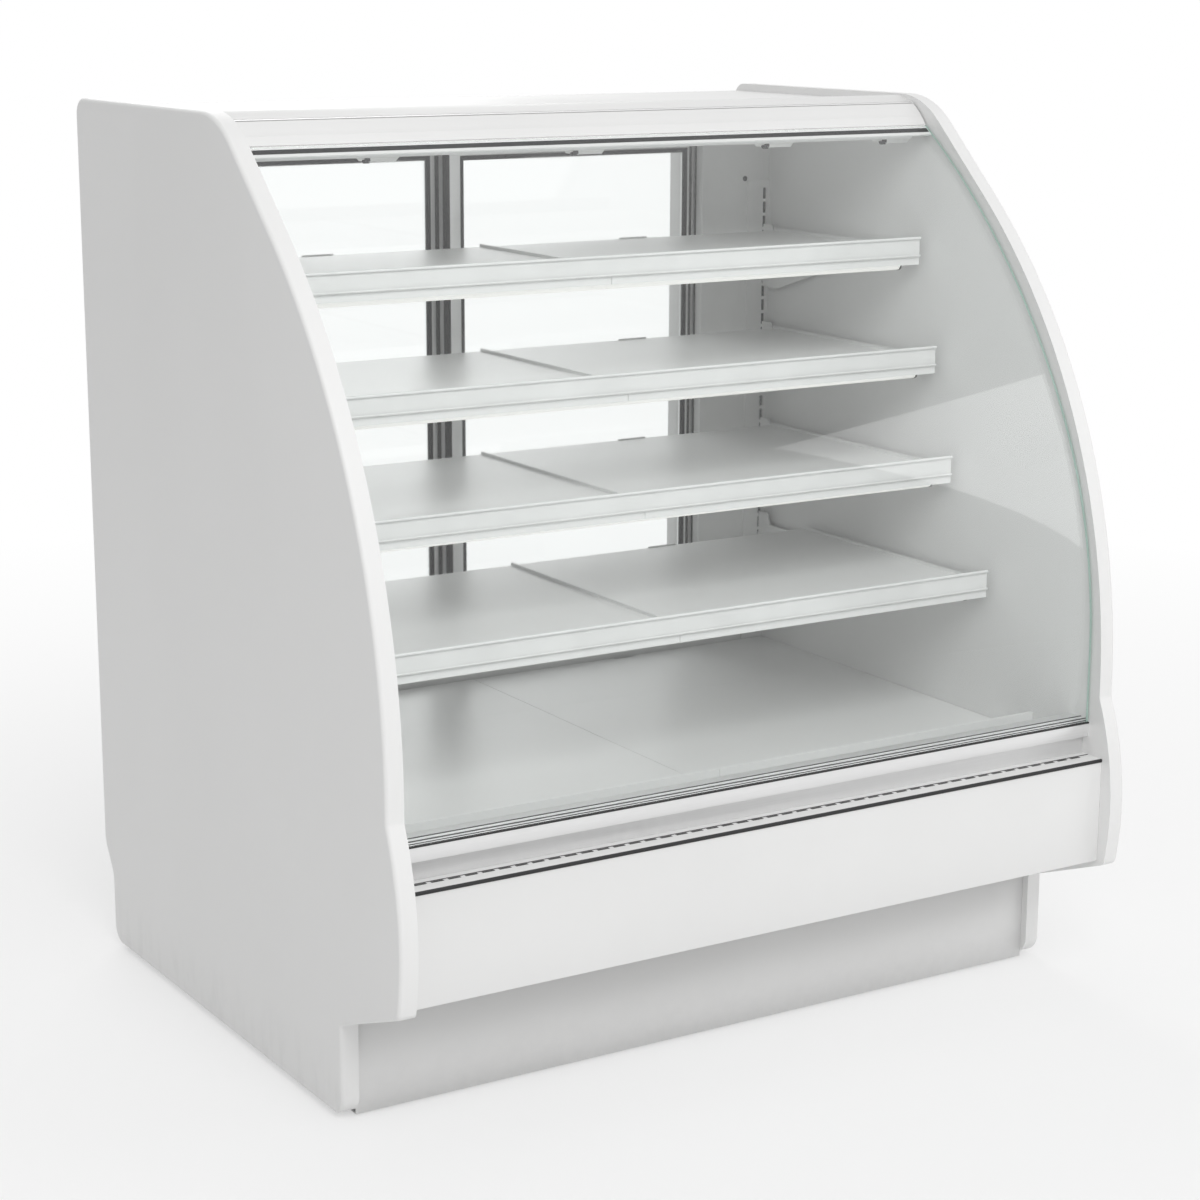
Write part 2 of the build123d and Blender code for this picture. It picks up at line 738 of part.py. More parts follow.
def evaporator_coil():
    """Fin block with tube ends."""
    y0, y1 = coil_front, coil_rear
    top = tub_floor_z + 107
    body = box(-coil_half, coil_half, y0, y1, tub_floor_z, top)
    count = 24
    step = 2 * coil_half / count
    fins = []
    for i in range(count):
        x = -coil_half + (i + 0.5) * step
        fins.append(box(x - 6, x + 6, y0 - 1, y0 + 9, tub_floor_z + 6, top + 1))
        fins.append(box(x - 6, x + 6, y1 - 9, y1 + 1, tub_floor_z + 6, top + 1))
    body = cut_all(body, fins)
    for y in (y0 + 22, y0 + 66, y0 + 110):
        for x0 in (-coil_half - 15, coil_half):
            for z in (tub_floor_z + 26, tub_floor_z + 76):
                body = body + along_x(5, x0, x0 + 15, y, z)
            x = x0 if x0 < 0 else x0 + 7
            body = body + box(x, x + 8, y - 4, y + 4, tub_floor_z + 26, tub_floor_z + 76)
    return body


def fan_centers():
    return [(-fan_x, 60.0, tub_floor_z + 61.0), (fan_x, 60.0, tub_floor_z + 61.0)]


def cond_center():
    return (cond_x, -120.0, floor_top + 84.0)


def fan_shroud():
    """Sheet across the tub with a ring about each evaporator fan."""
    body = box(-half_in, half_in, 58, 60, tub_floor_z, deck_z - sheet)
    for x, y, z in fan_centers():
        body = body + along_y(fan_radius + 7, x, 48, 72, z)
        body = body - along_y(fan_radius + 5, x, 40, 80, z)
    return body


def fan(center, radius, hub, blades, length, shaft):
    """Axial fan wheel about an axis along Y."""
    wheel = Rot(90, 0, 0) * Cylinder(hub, length)
    span = radius - hub + 2
    for i in range(blades):
        blade = Pos(hub - 2 + span / 2, 0, 0) * Rot(32, 0, 0) * Box(span, 1.6, hub * 1.5)
        wheel = wheel + Rot(0, 360.0 * i / blades, 0) * blade
    return Pos(*center) * (wheel - Rot(90, 0, 0) * Cylinder(shaft + bore_gap, length * 3))


def motor(center, radius, length, gap, shaft, floor):
    """Motor can behind a fan, its shaft and its bracket down to a floor."""
    x, y, z = center
    body = along_y(radius, x, y + gap, y + gap + length, z) + along_y(shaft, x, y - 8, y + gap + 2, z)
    body = body + box(x - 10, x + 10, y + gap + 6, y + gap + length - 6, floor, z)
    return body + box(x - 24, x + 24, y + gap + 4, y + gap + length - 4, floor, floor + 2)


def fan_motors():
    motors = [motor(c, 20, 40, 14, 3, tub_floor_z) for c in fan_centers()]
    motors.append(motor(cond_center(), 32, 60, 18, 4, floor_top))
    return Compound(children=motors)


def compressor():
    """Welded shell with its feet, terminal cover and pipe stubs."""
    x, y, z = compressor_x, 150.0, floor_top
    r = compressor_radius
    profile = [(0, 12), (r, 12), (r, 106), (r - 8, 124), (r - 26, 136), (0, 140)]
    shell = Pos(x, y, z) * revolve(Plane.XZ * polygon(profile), Axis.Z)
    body = shell + box(x - 95, x + 95, y - 75, y + 75, z + 8, z + 12)
    for dx in (-80, 80):
        for dy in (-60, 60):
            body = body + standing(10, x + dx, y + dy, z, z + 8)
    body = body + box(x + 68, x + 110, y - 25, y + 25, z + 50, z + 110)
    body = body + along_y(5, x, y + 70, y + 112, z + 60)
    return body + along_x(5, x - 94, x - 65, y, z + 80)


def condenser_coil():
    """Fin block in front of the compressor, with tube ends."""
    x0, x1 = cond_x - cond_half, cond_x + cond_half
    y = cond_center()[1]
    body = box(x0, x1, y - 110, y - 50, floor_top, cond_top)
    fins = [box(x0 + i * 18 - 5, x0 + i * 18 + 5, y - 111, y - 101, floor_top + 8, cond_top - 8) for i in range(1, 20)]
    body = cut_all(body, fins)
    for z in (36, 76, 116, 146):
        body = body + along_x(5, x0 - 15, x0, y - 80, floor_top + z) + along_x(5, x1, x1 + 15, y - 80, floor_top + z)
    return body


def condenser_shroud():
    """Box about the condenser fan."""
    x, y, z = cond_center()
    x0, x1 = cond_x - cond_half, cond_x + cond_half
    body = box(x0, x1, y - 50, y + 6, floor_top, cond_top)
    body = body - box(x0 + 2, x1 - 2, y - 51, y + 4, floor_top + 2, cond_top - 2)
    return body - along_y(cond_fan_radius + 5, x, y - 10, y + 20, z)


def condensate_pan():
    right = compressor_x - compressor_radius - 52
    left = right - 220
    body = box(left, right, 20, 180, floor_top, floor_top + 40)
    return body - box(left + 3, right - 3, 23, 177, floor_top + 3, floor_top + 41)


def drain_tube():
    z = floor_top + 36
    return standing(drain_radius, 0, 120, z, tub_floor_z) - standing(drain_radius - 3, 0, 120, z - 5, tub_floor_z + 5)


def rear_louver_panel():
    """Rear skin that follows the end panels, louvred below."""
    t = sheet
    y0 = rear_toe_y - 4
    low = rear_step_low + 1
    high = rear_step_high + 1
    points = [
        (y0, frame_bottom), (y0, low + 1), (tub_rear, high + 1), (tub_rear, rear_sill_z), (tub_rear + t, rear_sill_z),
        (tub_rear + t, high), (y0 + t, low), (y0 + t, frame_bottom),
    ]
    body = run_x(polygon(points), -half_in, half_in)
    cuts = []
    for i in range(10):
        x = 65.5 - half_in + i * 90
        for z in (50, 65, 80, 95, 110):
            cuts.append(box(x, x + 70, y0 - 1, y0 + 3, z, z + 6))
    cuts.append(along_y(4.5, gland_x, y0 - 10, y0 + 10, control_z - 10))
    cuts.append(box(box_left + 10, box_right - 10, y0 - 1, y0 + 3, control_z - 28, control_z + 28))
    return cut_all(body, cuts)


def control_box():
    """Box behind the louvre panel, with its face in the panel's window."""
    y1 = rear_toe_y - 4
    body = box(box_left, box_right, y1 - box_depth, y1, floor_top, floor_top + 96)
    body = body + box(box_left + 10.3, box_right - 10.3, y1, y1 + sheet + 1, control_z - 27.7, control_z + 27.7)
    body = body - box(rocker_x - 14.5, rocker_x + 14.5, y1 - 12, y1 + 5, control_z - 10.5, control_z + 10.5)
    body = body - standing(1.5 + bore_gap, rocker_x, y1 + 1, control_z - 12.5, control_z + 12.5)
    return body - along_y(3 + bore_gap, knob_x, y1 - 15, y1 + 15, control_z)


def light_switch():
    """Rocker on a cross pin, both faces sloped."""
    y1 = rear_toe_y - 4
    face = polygon([(-13.5, -3), (13.5, -3), (13.5, 1.0), (0, 3.0), (-13.5, 4.6)])
    rocker = extrude(face, 9.4, both=True) + Cylinder(1.5, 24.4)
    return Pos(rocker_x, y1 + 1, control_z) * rocker


def thermostat_knob():
    """Twelve sided grip on a pin."""
    y1 = rear_toe_y - 4 + sheet + 1
    grip = Rot(-90, 0, 0) * chamfer(extrude(RegularPolygon(16, 12), 14).edges().group_by(Axis.Z)[-1], 1.5)
    return Pos(knob_x, y1 + 0.5, control_z) * grip + along_y(3, knob_x, y1 - 11, y1 + 3, control_z)


def power_inlet():
    """Gland for the supply, left open."""
    y1 = rear_toe_y - 4 + sheet
    z = control_z - 10
    nut = Pos(gland_x, y1, z) * Rot(-90, 0, 0) * extrude(RegularPolygon(15, 6), 7)
    dome = chamfer(along_y(11, gland_x, y1 + 7, y1 + 19, z).edges().sort_by(Axis.Y)[-1], 2.5)
    return nut + dome - along_y(4.5, gland_x, y1 - 40, y1 + 40, z)


def screws():
    """Pan head screws of the rear frame."""
    out = []
    for z in (rear_sill_top + 15.0, (rear_sill_top + head_under) / 2, upright_top + 3.2):
        head = along_y(4.5, screw_x, frame_y - 3, frame_y, z)
        head = chamfer(head.edges().sort_by(Axis.Y)[0], 1.4)
        out.append(head)
        out.append(mirror(head, Plane.YZ))
    return Compound(children=out)


def build_all():
    """Every node by name."""
    nodes = {
        "end_panel_left": end_panel(-1), "end_panel_right": end_panel(1), "top_panel": top_panel(),
        "header_hood": header_hood(), "glass_hinge_rail": hinge_rail(), "glass_clamp_rail": clamp_rail(),
        "front_glass": front_glass(), "glass_sill": glass_sill(), "vent_ledge": vent_ledge(),
        "front_panel": front_panel(), "kick_plate": kick_plate(), "base_frame": base_frame(),
        "levelling_feet": levelling_feet(), "insulated_tub": insulated_tub(), "deck_pans": deck_pans(),
        "return_air_grille": return_air_grille(), "rear_jambs": rear_jambs(), "rubber_seals": rubber_seals(),
        "rear_sill": rear_sill(), "rear_head": rear_head(), "door_left_frame": door_frame(-1),
        "door_left_glass": door_pane(-1), "door_right_frame": door_frame(1), "door_right_glass": door_pane(1),
        "uprights": uprights(), "canopy_light": canopy_light(), "light_clips": light_clips(),
        "evaporator_coil": evaporator_coil(), "fan_shroud": fan_shroud(), "fan_motors": fan_motors(),
        "compressor": compressor(), "condenser_coil": condenser_coil(), "condenser_shroud": condenser_shroud(),
        "condensate_pan": condensate_pan(), "drain_tube": drain_tube(), "rear_louver_panel": rear_louver_panel(),
        "control_box": control_box(), "light_switch": light_switch(), "thermostat_knob": thermostat_knob(),
        "power_inlet": power_inlet(), "screws": screws(),
    }
    for row in range(len(shelf_rows)):
        n = row + 1
        nodes[f"shelf_{n}_pans"] = shelf_pans(row)
        nodes[f"tag_rail_{n}"] = tag_rail(row)
        nodes[f"shelf_light_{n}"] = shelf_light(row)
        nodes[f"shelf_brackets_{n}"] = shelf_bracket(row)
    left, right = fan_centers()
    nodes["evaporator_fan_left"] = fan(left, fan_radius, 14, 5, 16, 3)
    nodes["evaporator_fan_right"] = fan(right, fan_radius, 14, 5, 16, 3)
    nodes["condenser_fan"] = fan(cond_center(), cond_fan_radius, 20, 5, 20, 4)
    return nodes


os.makedirs("parts", exist_ok=True)
for name, shape in build_all().items():
    export_step(shape, f"parts/{name}.step")
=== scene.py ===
import json
from math import pi, radians

import bmesh
import bpy
import numpy as np
from mathutils import Matrix, Vector


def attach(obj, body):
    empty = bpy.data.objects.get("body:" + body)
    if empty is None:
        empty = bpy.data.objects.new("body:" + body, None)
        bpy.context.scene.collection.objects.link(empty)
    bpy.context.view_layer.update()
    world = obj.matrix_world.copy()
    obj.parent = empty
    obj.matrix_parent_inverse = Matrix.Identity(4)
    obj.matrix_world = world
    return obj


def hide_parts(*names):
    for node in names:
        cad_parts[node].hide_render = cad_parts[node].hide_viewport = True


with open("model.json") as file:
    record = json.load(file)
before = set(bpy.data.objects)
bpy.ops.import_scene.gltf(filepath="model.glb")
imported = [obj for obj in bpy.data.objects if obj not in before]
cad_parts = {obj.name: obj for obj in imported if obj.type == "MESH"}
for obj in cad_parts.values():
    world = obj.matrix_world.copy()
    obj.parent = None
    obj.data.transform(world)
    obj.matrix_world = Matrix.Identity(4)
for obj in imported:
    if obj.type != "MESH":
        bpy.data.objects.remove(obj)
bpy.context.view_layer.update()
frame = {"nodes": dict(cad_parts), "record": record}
nodes = frame["nodes"]

# Sizes in millimetres, as the solids have them, unless a line says otherwise
HALF_IN = 625.5  # middle of the case to an end panel's inner face
NOSE_Z = 448.0  # top of the sill's nose, where the glass stands
RISE = 974.0  # from the nose to the top of the case
GLASS_Y = -478.7  # inner face of the glass at its foot
LOW_RADIUS = 0.8343 * RISE  # lower arc of the glass
LOW_CENTER = np.array([GLASS_Y + 0.8343 * RISE, NOSE_Z + 0.1229 * RISE])
ARCS_MEET = 0.463  # angle in radians at which the lower arc runs into the upper one
GLASS_RADIUS = 1.2305 * RISE  # upper arc of the glass
GLASS_CENTER = np.array([679.18, 395.34])
GLASS_TOP = radians(54.2)  # angle of the glass's top edge
GLASS_CUT = 0.6222  # metres from the middle, past which the front glass shows its cut end
FRAME_Y = 432.0  # front of the rear jambs
SHELF_ROWS = ((0.7351, 0.4597), (0.5524, 0.4073), (0.3686, 0.3549), (0.1869, 0.2492))  # up, back
RAIL_HALF = 610.0
LAMP_HALF = 598.0
CANOPY_HALF = 604.0
LEDGE_Z = 394.0  # top of the slotted ledge
PANEL_Y = -519.0  # face of the front panel
NEAR_LEAF = 464.0  # middle of the right door, which runs in the front track
FAR_LEAF = 492.0  # middle of the left door, which runs in the rear track
LEAF_HALF = 8.0  # half a door's thickness
REAR_SKIN = 509.5  # rear face of the louvre panel
CONTROL_Z = 90.0  # height of the knob and the rocker


# Shader expressions

class Wire:
    """A socket of a node tree. Arithmetic on it adds Math nodes."""

    def __init__(self, tree, socket):
        self.tree = tree
        self.socket = socket

    def put(self, target, value):
        if isinstance(value, Wire):
            self.tree.links.new(value.socket, target)
        elif hasattr(target.default_value, "__len__") and not hasattr(value, "__len__"):
            target.default_value = [value] * len(target.default_value)
        else:
            target.default_value = value

    def node(self, kind, settings=None, sockets=None, out=0):
        """Adds a node: its settings first, then the values or links of its sockets."""
        made = self.tree.nodes.new(kind)
        for key, value in (settings or {}).items():
            setattr(made, key, value)
        for key, value in (sockets or {}).items():
            self.put(made.inputs[key], value)
        return Wire(self.tree, made.outputs[out])

    def math(self, operation, a, b=0.0, clamp=False):
        settings = {"operation": operation, "use_clamp": clamp}
        return self.node("ShaderNodeMath", settings, {0: a, 1: b})

    def __add__(self, other):
        return self.math("ADD", self, other)

    def __radd__(self, other):
        return self.math("ADD", other, self)

    def __sub__(self, other):
        return self.math("SUBTRACT", self, other)

    def __rsub__(self, other):
        return self.math("SUBTRACT", other, self)

    def __mul__(self, other):
        return self.math("MULTIPLY", self, other)

    def __rmul__(self, other):
        return self.math("MULTIPLY", other, self)

    def __truediv__(self, other):
        return self.math("DIVIDE", self, other)

    def __abs__(self):
        return self.math("ABSOLUTE", self)

    def above(self, edge, width):
        """0 below edge and 1 above it, with a soft step of the given width."""
        return self.math("DIVIDE", self - (edge - width / 2), width, clamp=True)

    def tint(self, low, high):
        """Colour between low and high by this value."""
        sockets = {0: self, 6: (*low, 1.0), 7: (*high, 1.0)}
        return self.node("ShaderNodeMix", {"data_type": "RGBA"}, sockets, 2)

    def over(self, under, colour):
        """This value lays a plain colour over another colour wire."""
        sockets = {0: self, 6: under, 7: (*colour, 1.0)}
        return self.node("ShaderNodeMix", {"data_type": "RGBA"}, sockets, 2)


def start(name):
    """New material: its shader and the wire of Object coordinates."""
    mat = bpy.data.materials.new(name)
    mat.use_nodes = True
    tree = mat.node_tree
    shader = tree.nodes["Principled BSDF"]
    place = Wire(tree, tree.nodes.new("ShaderNodeTexCoord").outputs["Object"])
    return mat, shader, place


def fit(shader, place, **values):
    """Sets or links the shader's sockets by name."""
    for key, value in values.items():
        place.put(shader.inputs[key.replace("_", " ")], value)


def noise(place, scale, detail, stretch=None):
    """Noise on Object coordinates, at a scale in cycles per metre."""
    if stretch:
        place = place.node("ShaderNodeMapping", {}, {"Vector": place, "Scale": stretch})
    sockets = {"Vector": place, "Scale": scale, "Detail": detail}
    return place.node("ShaderNodeTexNoise", {}, sockets)


def bump(place, height, strength, distance):
    """Normal that follows a height wire; the distance is in metres."""
    sockets = {"Height": height, "Strength": strength, "Distance": distance}
    return place.node("ShaderNodeBump", {}, sockets)


def axis(place, name):
    """One coordinate of the place."""
    return place.node("ShaderNodeSeparateXYZ", {}, {0: place}, "XYZ".index(name))


def shade(colour, factor):
    """Colour times a factor, at most 1."""
    return tuple(min(1.0, c * factor) for c in colour)


def path_of(place, *kinds):
    """1 for rays of any of these kinds, else 0."""
    light_path = place.tree.nodes.new("ShaderNodeLightPath")
    total = Wire(place.tree, light_path.outputs[kinds[0]])
    for kind in kinds[1:]:
        total = total.math("ADD", total, Wire(place.tree, light_path.outputs[kind]), clamp=True)
    return total


def blended(mat, place, factor, other):
    """Mixes the material's own shader with another shader before the output."""
    shader = Wire(place.tree, place.tree.nodes["Principled BSDF"].outputs[0])
    mixed = place.node("ShaderNodeMixShader", {}, {0: factor, 1: shader, 2: other})
    place.put(place.tree.nodes["Material Output"].inputs[0], mixed)
    return mat


def coated(name, colour, rough=0.36, peel=0.10, coat=0.0):
    """Powder coat: a faint cloud in the tone, orange peel in the bump and dust near the floor."""
    mat, shader, place = start(name)
    cloud = noise(place, 3.0, 3.0)
    fine = noise(place, 900.0, 1.0)
    base = cloud.above(0.5, 0.5).tint(shade(colour, 0.965), colour)
    low = 1.0 - axis(place, "Z").above(0.05, 0.10)
    dust = low * noise(place, 60.0, 4.0).above(0.5, 0.4) * 0.22
    base = dust.over(base, shade(colour, 0.80))
    gloss = rough + 0.10 * cloud + 0.06 * fine
    fit(shader, place, Base_Color=base, Roughness=gloss, Coat_Weight=coat)
    fit(shader, place, Normal=bump(place, fine, peel, 0.0004))
    return mat


def laminate(name, colour):
    """Pressed laminate: fine pebble texture, a very faint tone and scuffs near the floor."""
    mat, shader, place = start(name)
    cloud = noise(place, 2.2, 2.0)
    grain = place.node("ShaderNodeTexVoronoi", {}, {"Vector": place, "Scale": 520.0})
    base = cloud.above(0.5, 0.6).tint(shade(colour, 0.972), colour)
    low = 1.0 - axis(place, "Z").above(0.06, 0.11)
    streaks = noise(place, 45.0, 5.0, (1.0, 1.0, 0.35))
    scuff = low * streaks.above(0.56, 0.22) * 0.22
    base = scuff.over(base, shade(colour, 0.72))
    fit(shader, place, Base_Color=base, Roughness=0.42 + 0.12 * grain + 0.1 * scuff)
    fit(shader, place, Normal=bump(place, grain, 0.16, 0.0003))
    return mat


def brushed(name, colour, rough, along="X", metallic=1.0):
    """Drawn metal: long fine lines along one axis in the tone, roughness and bump."""
    mat, shader, place = start(name)
    stretch = [900.0, 900.0, 900.0]
    stretch["XYZ".index(along)] = 6.0
    lines = noise(place, 1.0, 2.0, stretch)
    cloud = noise(place, 4.0, 2.0)
    base = (0.7 * lines + 0.3 * cloud).tint(shade(colour, 0.88), colour)
    fit(shader, place, Base_Color=base, Metallic=metallic, Roughness=rough - 0.07 + 0.16 * lines)
    fit(shader, place, Normal=bump(place, lines, 0.05, 0.0002))
    return mat


def spangled(name, colour):
    """Galvanised sheet: zinc crystals of slightly different tone and gloss."""
    mat, shader, place = start(name)
    cells = place.node("ShaderNodeTexVoronoi", {}, {"Vector": place, "Scale": 90.0}, "Color")
    value = place.node("ShaderNodeSeparateColor", {}, {0: cells}, 0)
    base = value.tint(shade(colour, 0.80), colour)
    fit(shader, place, Base_Color=base, Metallic=0.9, Roughness=0.36 + 0.2 * value)
    return mat


def moulded(name, colour, rough=0.5, coat=0.0):
    """Moulded plastic or rubber: fine even grain."""
    mat, shader, place = start(name)
    grain = noise(place, 1400.0, 1.0)
    cloud = noise(place, 12.0, 2.0)
    base = cloud.tint(shade(colour, 0.90), shade(colour, 1.08))
    fit(shader, place, Base_Color=base, Roughness=rough - 0.05 + 0.12 * grain, Coat_Weight=coat)
    fit(shader, place, Normal=bump(place, grain, 0.18, 0.0002))
    return mat


def clear(name, tone, edge):
    """Tempered glass: nearly clear faces, green cut ends and faint smears in the gloss.

    Shadow rays and rays from matt surfaces go straight through, so that the goods space is lit.
    """
    mat, shader, place = start(name)
    smear = noise(place, 5.0, 4.0, (1.0, 1.0, 0.3))
    end = abs(axis(place, "X")).above(GLASS_CUT, 0.0004)
    rough = 0.01 + 0.03 * smear.above(0.55, 0.3)
    fit(shader, place, Base_Color=end.tint(tone, edge), Roughness=rough)
    fit(shader, place, IOR=1.45, Transmission_Weight=1.0)
    through = place.node("ShaderNodeBsdfTransparent", {}, {"Color": (*tone, 1.0)})
    return blended(mat, place, path_of(place, "Is Shadow Ray", "Is Diffuse Ray"), through)


def opal(name, glow):
    """Opal lamp cover: drawn lines, a little gloss and a soft even glow."""
    mat, shader, place = start(name)
    lines = noise(place, 1.0, 1.0, (4.0, 1600.0, 1600.0))
    base = lines.tint((0.86, 0.86, 0.84), (0.93, 0.93, 0.91))
    fit(shader, place, Base_Color=base, Roughness=0.25 + 0.1 * lines, Coat_Weight=0.3)
    fit(shader, place, Emission_Color=(1.0, 0.98, 0.94, 1.0), Emission_Strength=glow)
    return mat


def finned(name, colour, pitch):
    """Thin aluminium fins across X: painted shade in the gaps between pale fin edges."""
    mat, shader, place = start(name)
    wave = axis(place, "X") / pitch
    saw = wave.math("FRACT", wave)
    gap = abs(saw - 0.5).above(0.3, 0.12)
    # Painted shade: the gaps between fins take the fin colour at 0.12, with less metal and more
    # roughness.
    base = gap.tint(colour, shade(colour, 0.12))
    fit(shader, place, Base_Color=base, Metallic=0.9 - 0.6 * gap, Roughness=0.35 + 0.3 * gap)
    fit(shader, place, Normal=bump(place, 1.0 - gap, 0.6, 0.001))
    return mat


finishes = {
    "white_panel": coated("panel_white", (0.80, 0.80, 0.795)),
    "white_pan": coated("pan_white", (0.83, 0.83, 0.825), 0.30),
    "end_board": laminate("end_laminate", (0.82, 0.82, 0.815)),
    "satin_aluminium": brushed("satin_aluminium", (0.84, 0.84, 0.84), 0.38, "X", 0.6),
    "clear_glass": clear("clear_glass", (0.985, 0.996, 0.992), (0.30, 0.62, 0.50)),
    "lamp_lens": opal("opal_lens", 0.35),
    "black_rubber": moulded("black_rubber", (0.020, 0.020, 0.021), 0.62),
    "black_plastic": moulded("black_plastic", (0.028, 0.028, 0.030), 0.42),
    "galvanised": spangled("galvanised", (0.55, 0.57, 0.58)),
    "black_steel": coated("black_enamel", (0.025, 0.025, 0.027), 0.25, 0.2, 0.4),
    "tub_liner": coated("tub_liner", (0.78, 0.79, 0.79), 0.3),
    "tag_rail": moulded("rail_white", (0.80, 0.80, 0.795), 0.30),
    "clip_plastic": moulded("clip_white", (0.78, 0.78, 0.77), 0.30),
    "coil_metal": finned("coil_fins", (0.62, 0.64, 0.66), 0.003),
    "screw_steel": brushed("plated_steel", (0.62, 0.62, 0.62), 0.25, "Z"),
}
ink = moulded("white_ink", (0.80, 0.80, 0.79), 0.45)


# Width in millimetres of the small rounds on sheet metal edges
folded = {
    "front_panel": 0.8, "kick_plate": 0.8, "top_panel": 0.8, "header_hood": 0.5, "rear_head": 0.8,
    "rear_sill": 0.8, "rear_jambs": 0.6, "glass_sill": 0.5, "vent_ledge": 0.4,
    "rear_louver_panel": 0.4, "door_left_frame": 0.6, "door_right_frame": 0.6, "control_box": 0.5,
}


def dress(node, material):
    """Gives a CAD node a finish, soft shading on curves, and crisp or slightly round edges."""
    o = nodes[node]
    o.data.materials.clear()
    o.data.materials.append(material)
    o.data.shade_smooth()
    weld = o.modifiers.new("weld", "WELD")
    weld.merge_threshold = 0.00002
    if node in folded:
        bevel = o.modifiers.new("edges", "BEVEL")
        bevel.width = folded[node] / 1000
        bevel.segments = 2
        bevel.limit_method = "ANGLE"
        bevel.angle_limit = radians(30)
        bevel.harden_normals = True
    else:
        split = o.modifiers.new("edges", "EDGE_SPLIT")
        split.split_angle = radians(28)


for row in frame["record"]["subparts"]:
    dress(row["node"], finishes[row["material_slot"]])


# Shapes: points in millimetres, with blocks of faces that have equally many corners

def woven(grid, around_rows=False, around_columns=False):
    """Faces between neighbouring points of a grid, closed round either way where wanted."""
    n, m = grid.shape[:2]
    i = np.arange(n if around_rows else n - 1)[:, None]
    j = np.arange(m if around_columns else m - 1)[None]
    up, right = (i + 1) % n * m, (j + 1) % m
    quads = np.stack([i * m + j, i * m + right, up + right, up + j], -1).reshape(-1, 4)
    return grid.reshape(-1, 3), [quads]


def carried(outline, a, b, along="X"):
    """Closed outline carried straight from a to b along one axis, with a face at each end.

    The outline's numbers are the other two coordinates, in the order of X, Y and Z.
    """
    n = len(outline)
    where = "XYZ".index(along)
    points = np.concatenate([np.insert(outline, where, end, axis=1) for end in (a, b)])
    i = np.arange(n)
    j = np.roll(i, -1)
    return points, [np.stack([i, j, j + n, i + n], 1), np.stack([i[::-1], i + n])]


def joined(*parts):
    """Several shapes in one."""
    starts = np.cumsum([0] + [len(points) for points, blocks in parts])
    points = np.concatenate([points for points, blocks in parts])
    return points, [block + start for (_, blocks), start in zip(parts, starts) for block in blocks]


def rounded(corners, radii, steps=5):
    """Outline with an arc at each corner.

    The arc's centre lies on the bisector, at radius / sin(half the angle) from the corner.
    """
    p = np.array(corners, float)
    r = np.maximum(np.broadcast_to(np.array(radii, float), len(p)), 0.01)[:, None]
    a = np.roll(p, 1, 0) - p
    b = np.roll(p, -1, 0) - p
    a /= np.linalg.norm(a, axis=1, keepdims=True)
    b /= np.linalg.norm(b, axis=1, keepdims=True)
    half = np.arccos(np.clip((a * b).sum(1, keepdims=True), -1, 1)) / 2
    centre = p + (a + b) / np.linalg.norm(a + b, axis=1, keepdims=True) * r / np.sin(half)
    first = p + a * r / np.tan(half) - centre
    last = p + b * r / np.tan(half) - centre
    t0 = np.arctan2(first[:, 1], first[:, 0])
    sweep = (np.arctan2(last[:, 1], last[:, 0]) - t0 + pi) % (2 * pi) - pi
    t = t0[:, None] + sweep[:, None] * np.linspace(0, 1, steps)
    return (centre[:, None] + r[:, None] * np.stack([np.cos(t), np.sin(t)], -1)).reshape(-1, 2)


def block(y0, y1, z0, z1, radius=0.3):
    """Rectangle with small round corners, as an outline."""
    return rounded([(y0, z0), (y1, z0), (y1, z1), (y0, z1)], radius, 3)


def bead(y0, y1, z0, z1, front, back):
    """Outline of a strip along X with large round corners in front and small ones behind."""
    return rounded([(y0, z0), (y1, z0), (y1, z1), (y0, z1)], [front, back, back, front])


def ribbon(path, half):
    """Outline of a strip: half its thickness on each side of its centre line."""
    path = np.array(path, float)
    run = np.gradient(path, axis=0)
    side = np.stack([-run[:, 1], run[:, 0]], 1)
    side /= np.linalg.norm(run, axis=1, keepdims=True)
    half = np.broadcast_to(half, len(path))[:, None]
    return np.concatenate([path - side * half, (path + side * half)[::-1]])


def arc(centre, radius, first, last, count):
    """Points on a circle between two angles in degrees."""
    t = np.radians(np.linspace(first, last, count))
    return np.array(centre) + radius * np.stack([np.cos(t), np.sin(t)], 1)


def framed(section, x0, x1, z0, z1):
    """Section carried round an upright rectangle with mitred corners: (outward, Y)."""
    corners = [(x0, z0, -1, -1), (x1, z0, 1, -1), (x1, z1, 1, 1), (x0, z1, -1, 1)]
    corner = np.array(corners, float)[:, None]
    out, y = np.array(section, float).T
    x = corner[..., 0] + corner[..., 2] * out
    z = corner[..., 1] + corner[..., 3] * out
    return woven(np.stack(np.broadcast_arrays(x, y, z), -1), True, True)


def turned(outline, x, z, count=48, wave=None, ring=False):
    """Outline of (radius, Y) turned about an axis along Y.

    wave(radius, Y, angle) gives another radius. A ring's outline is closed round a bore.
    """
    r, y = np.array(outline, float).T[:, :, None]
    t = np.linspace(0, 2 * pi, count, endpoint=False)[None]
    if wave:
        r = wave(r, y, t)
    grid = np.stack(np.broadcast_arrays(x + r * np.cos(t), y, z + r * np.sin(t)), -1)
    return woven(grid, ring, True)


def leafed(upper, lower):
    """Closed skin of two grids that meet along their side columns, closed at both end rows."""
    return woven(np.concatenate([upper, lower[::-1]]), True, False)


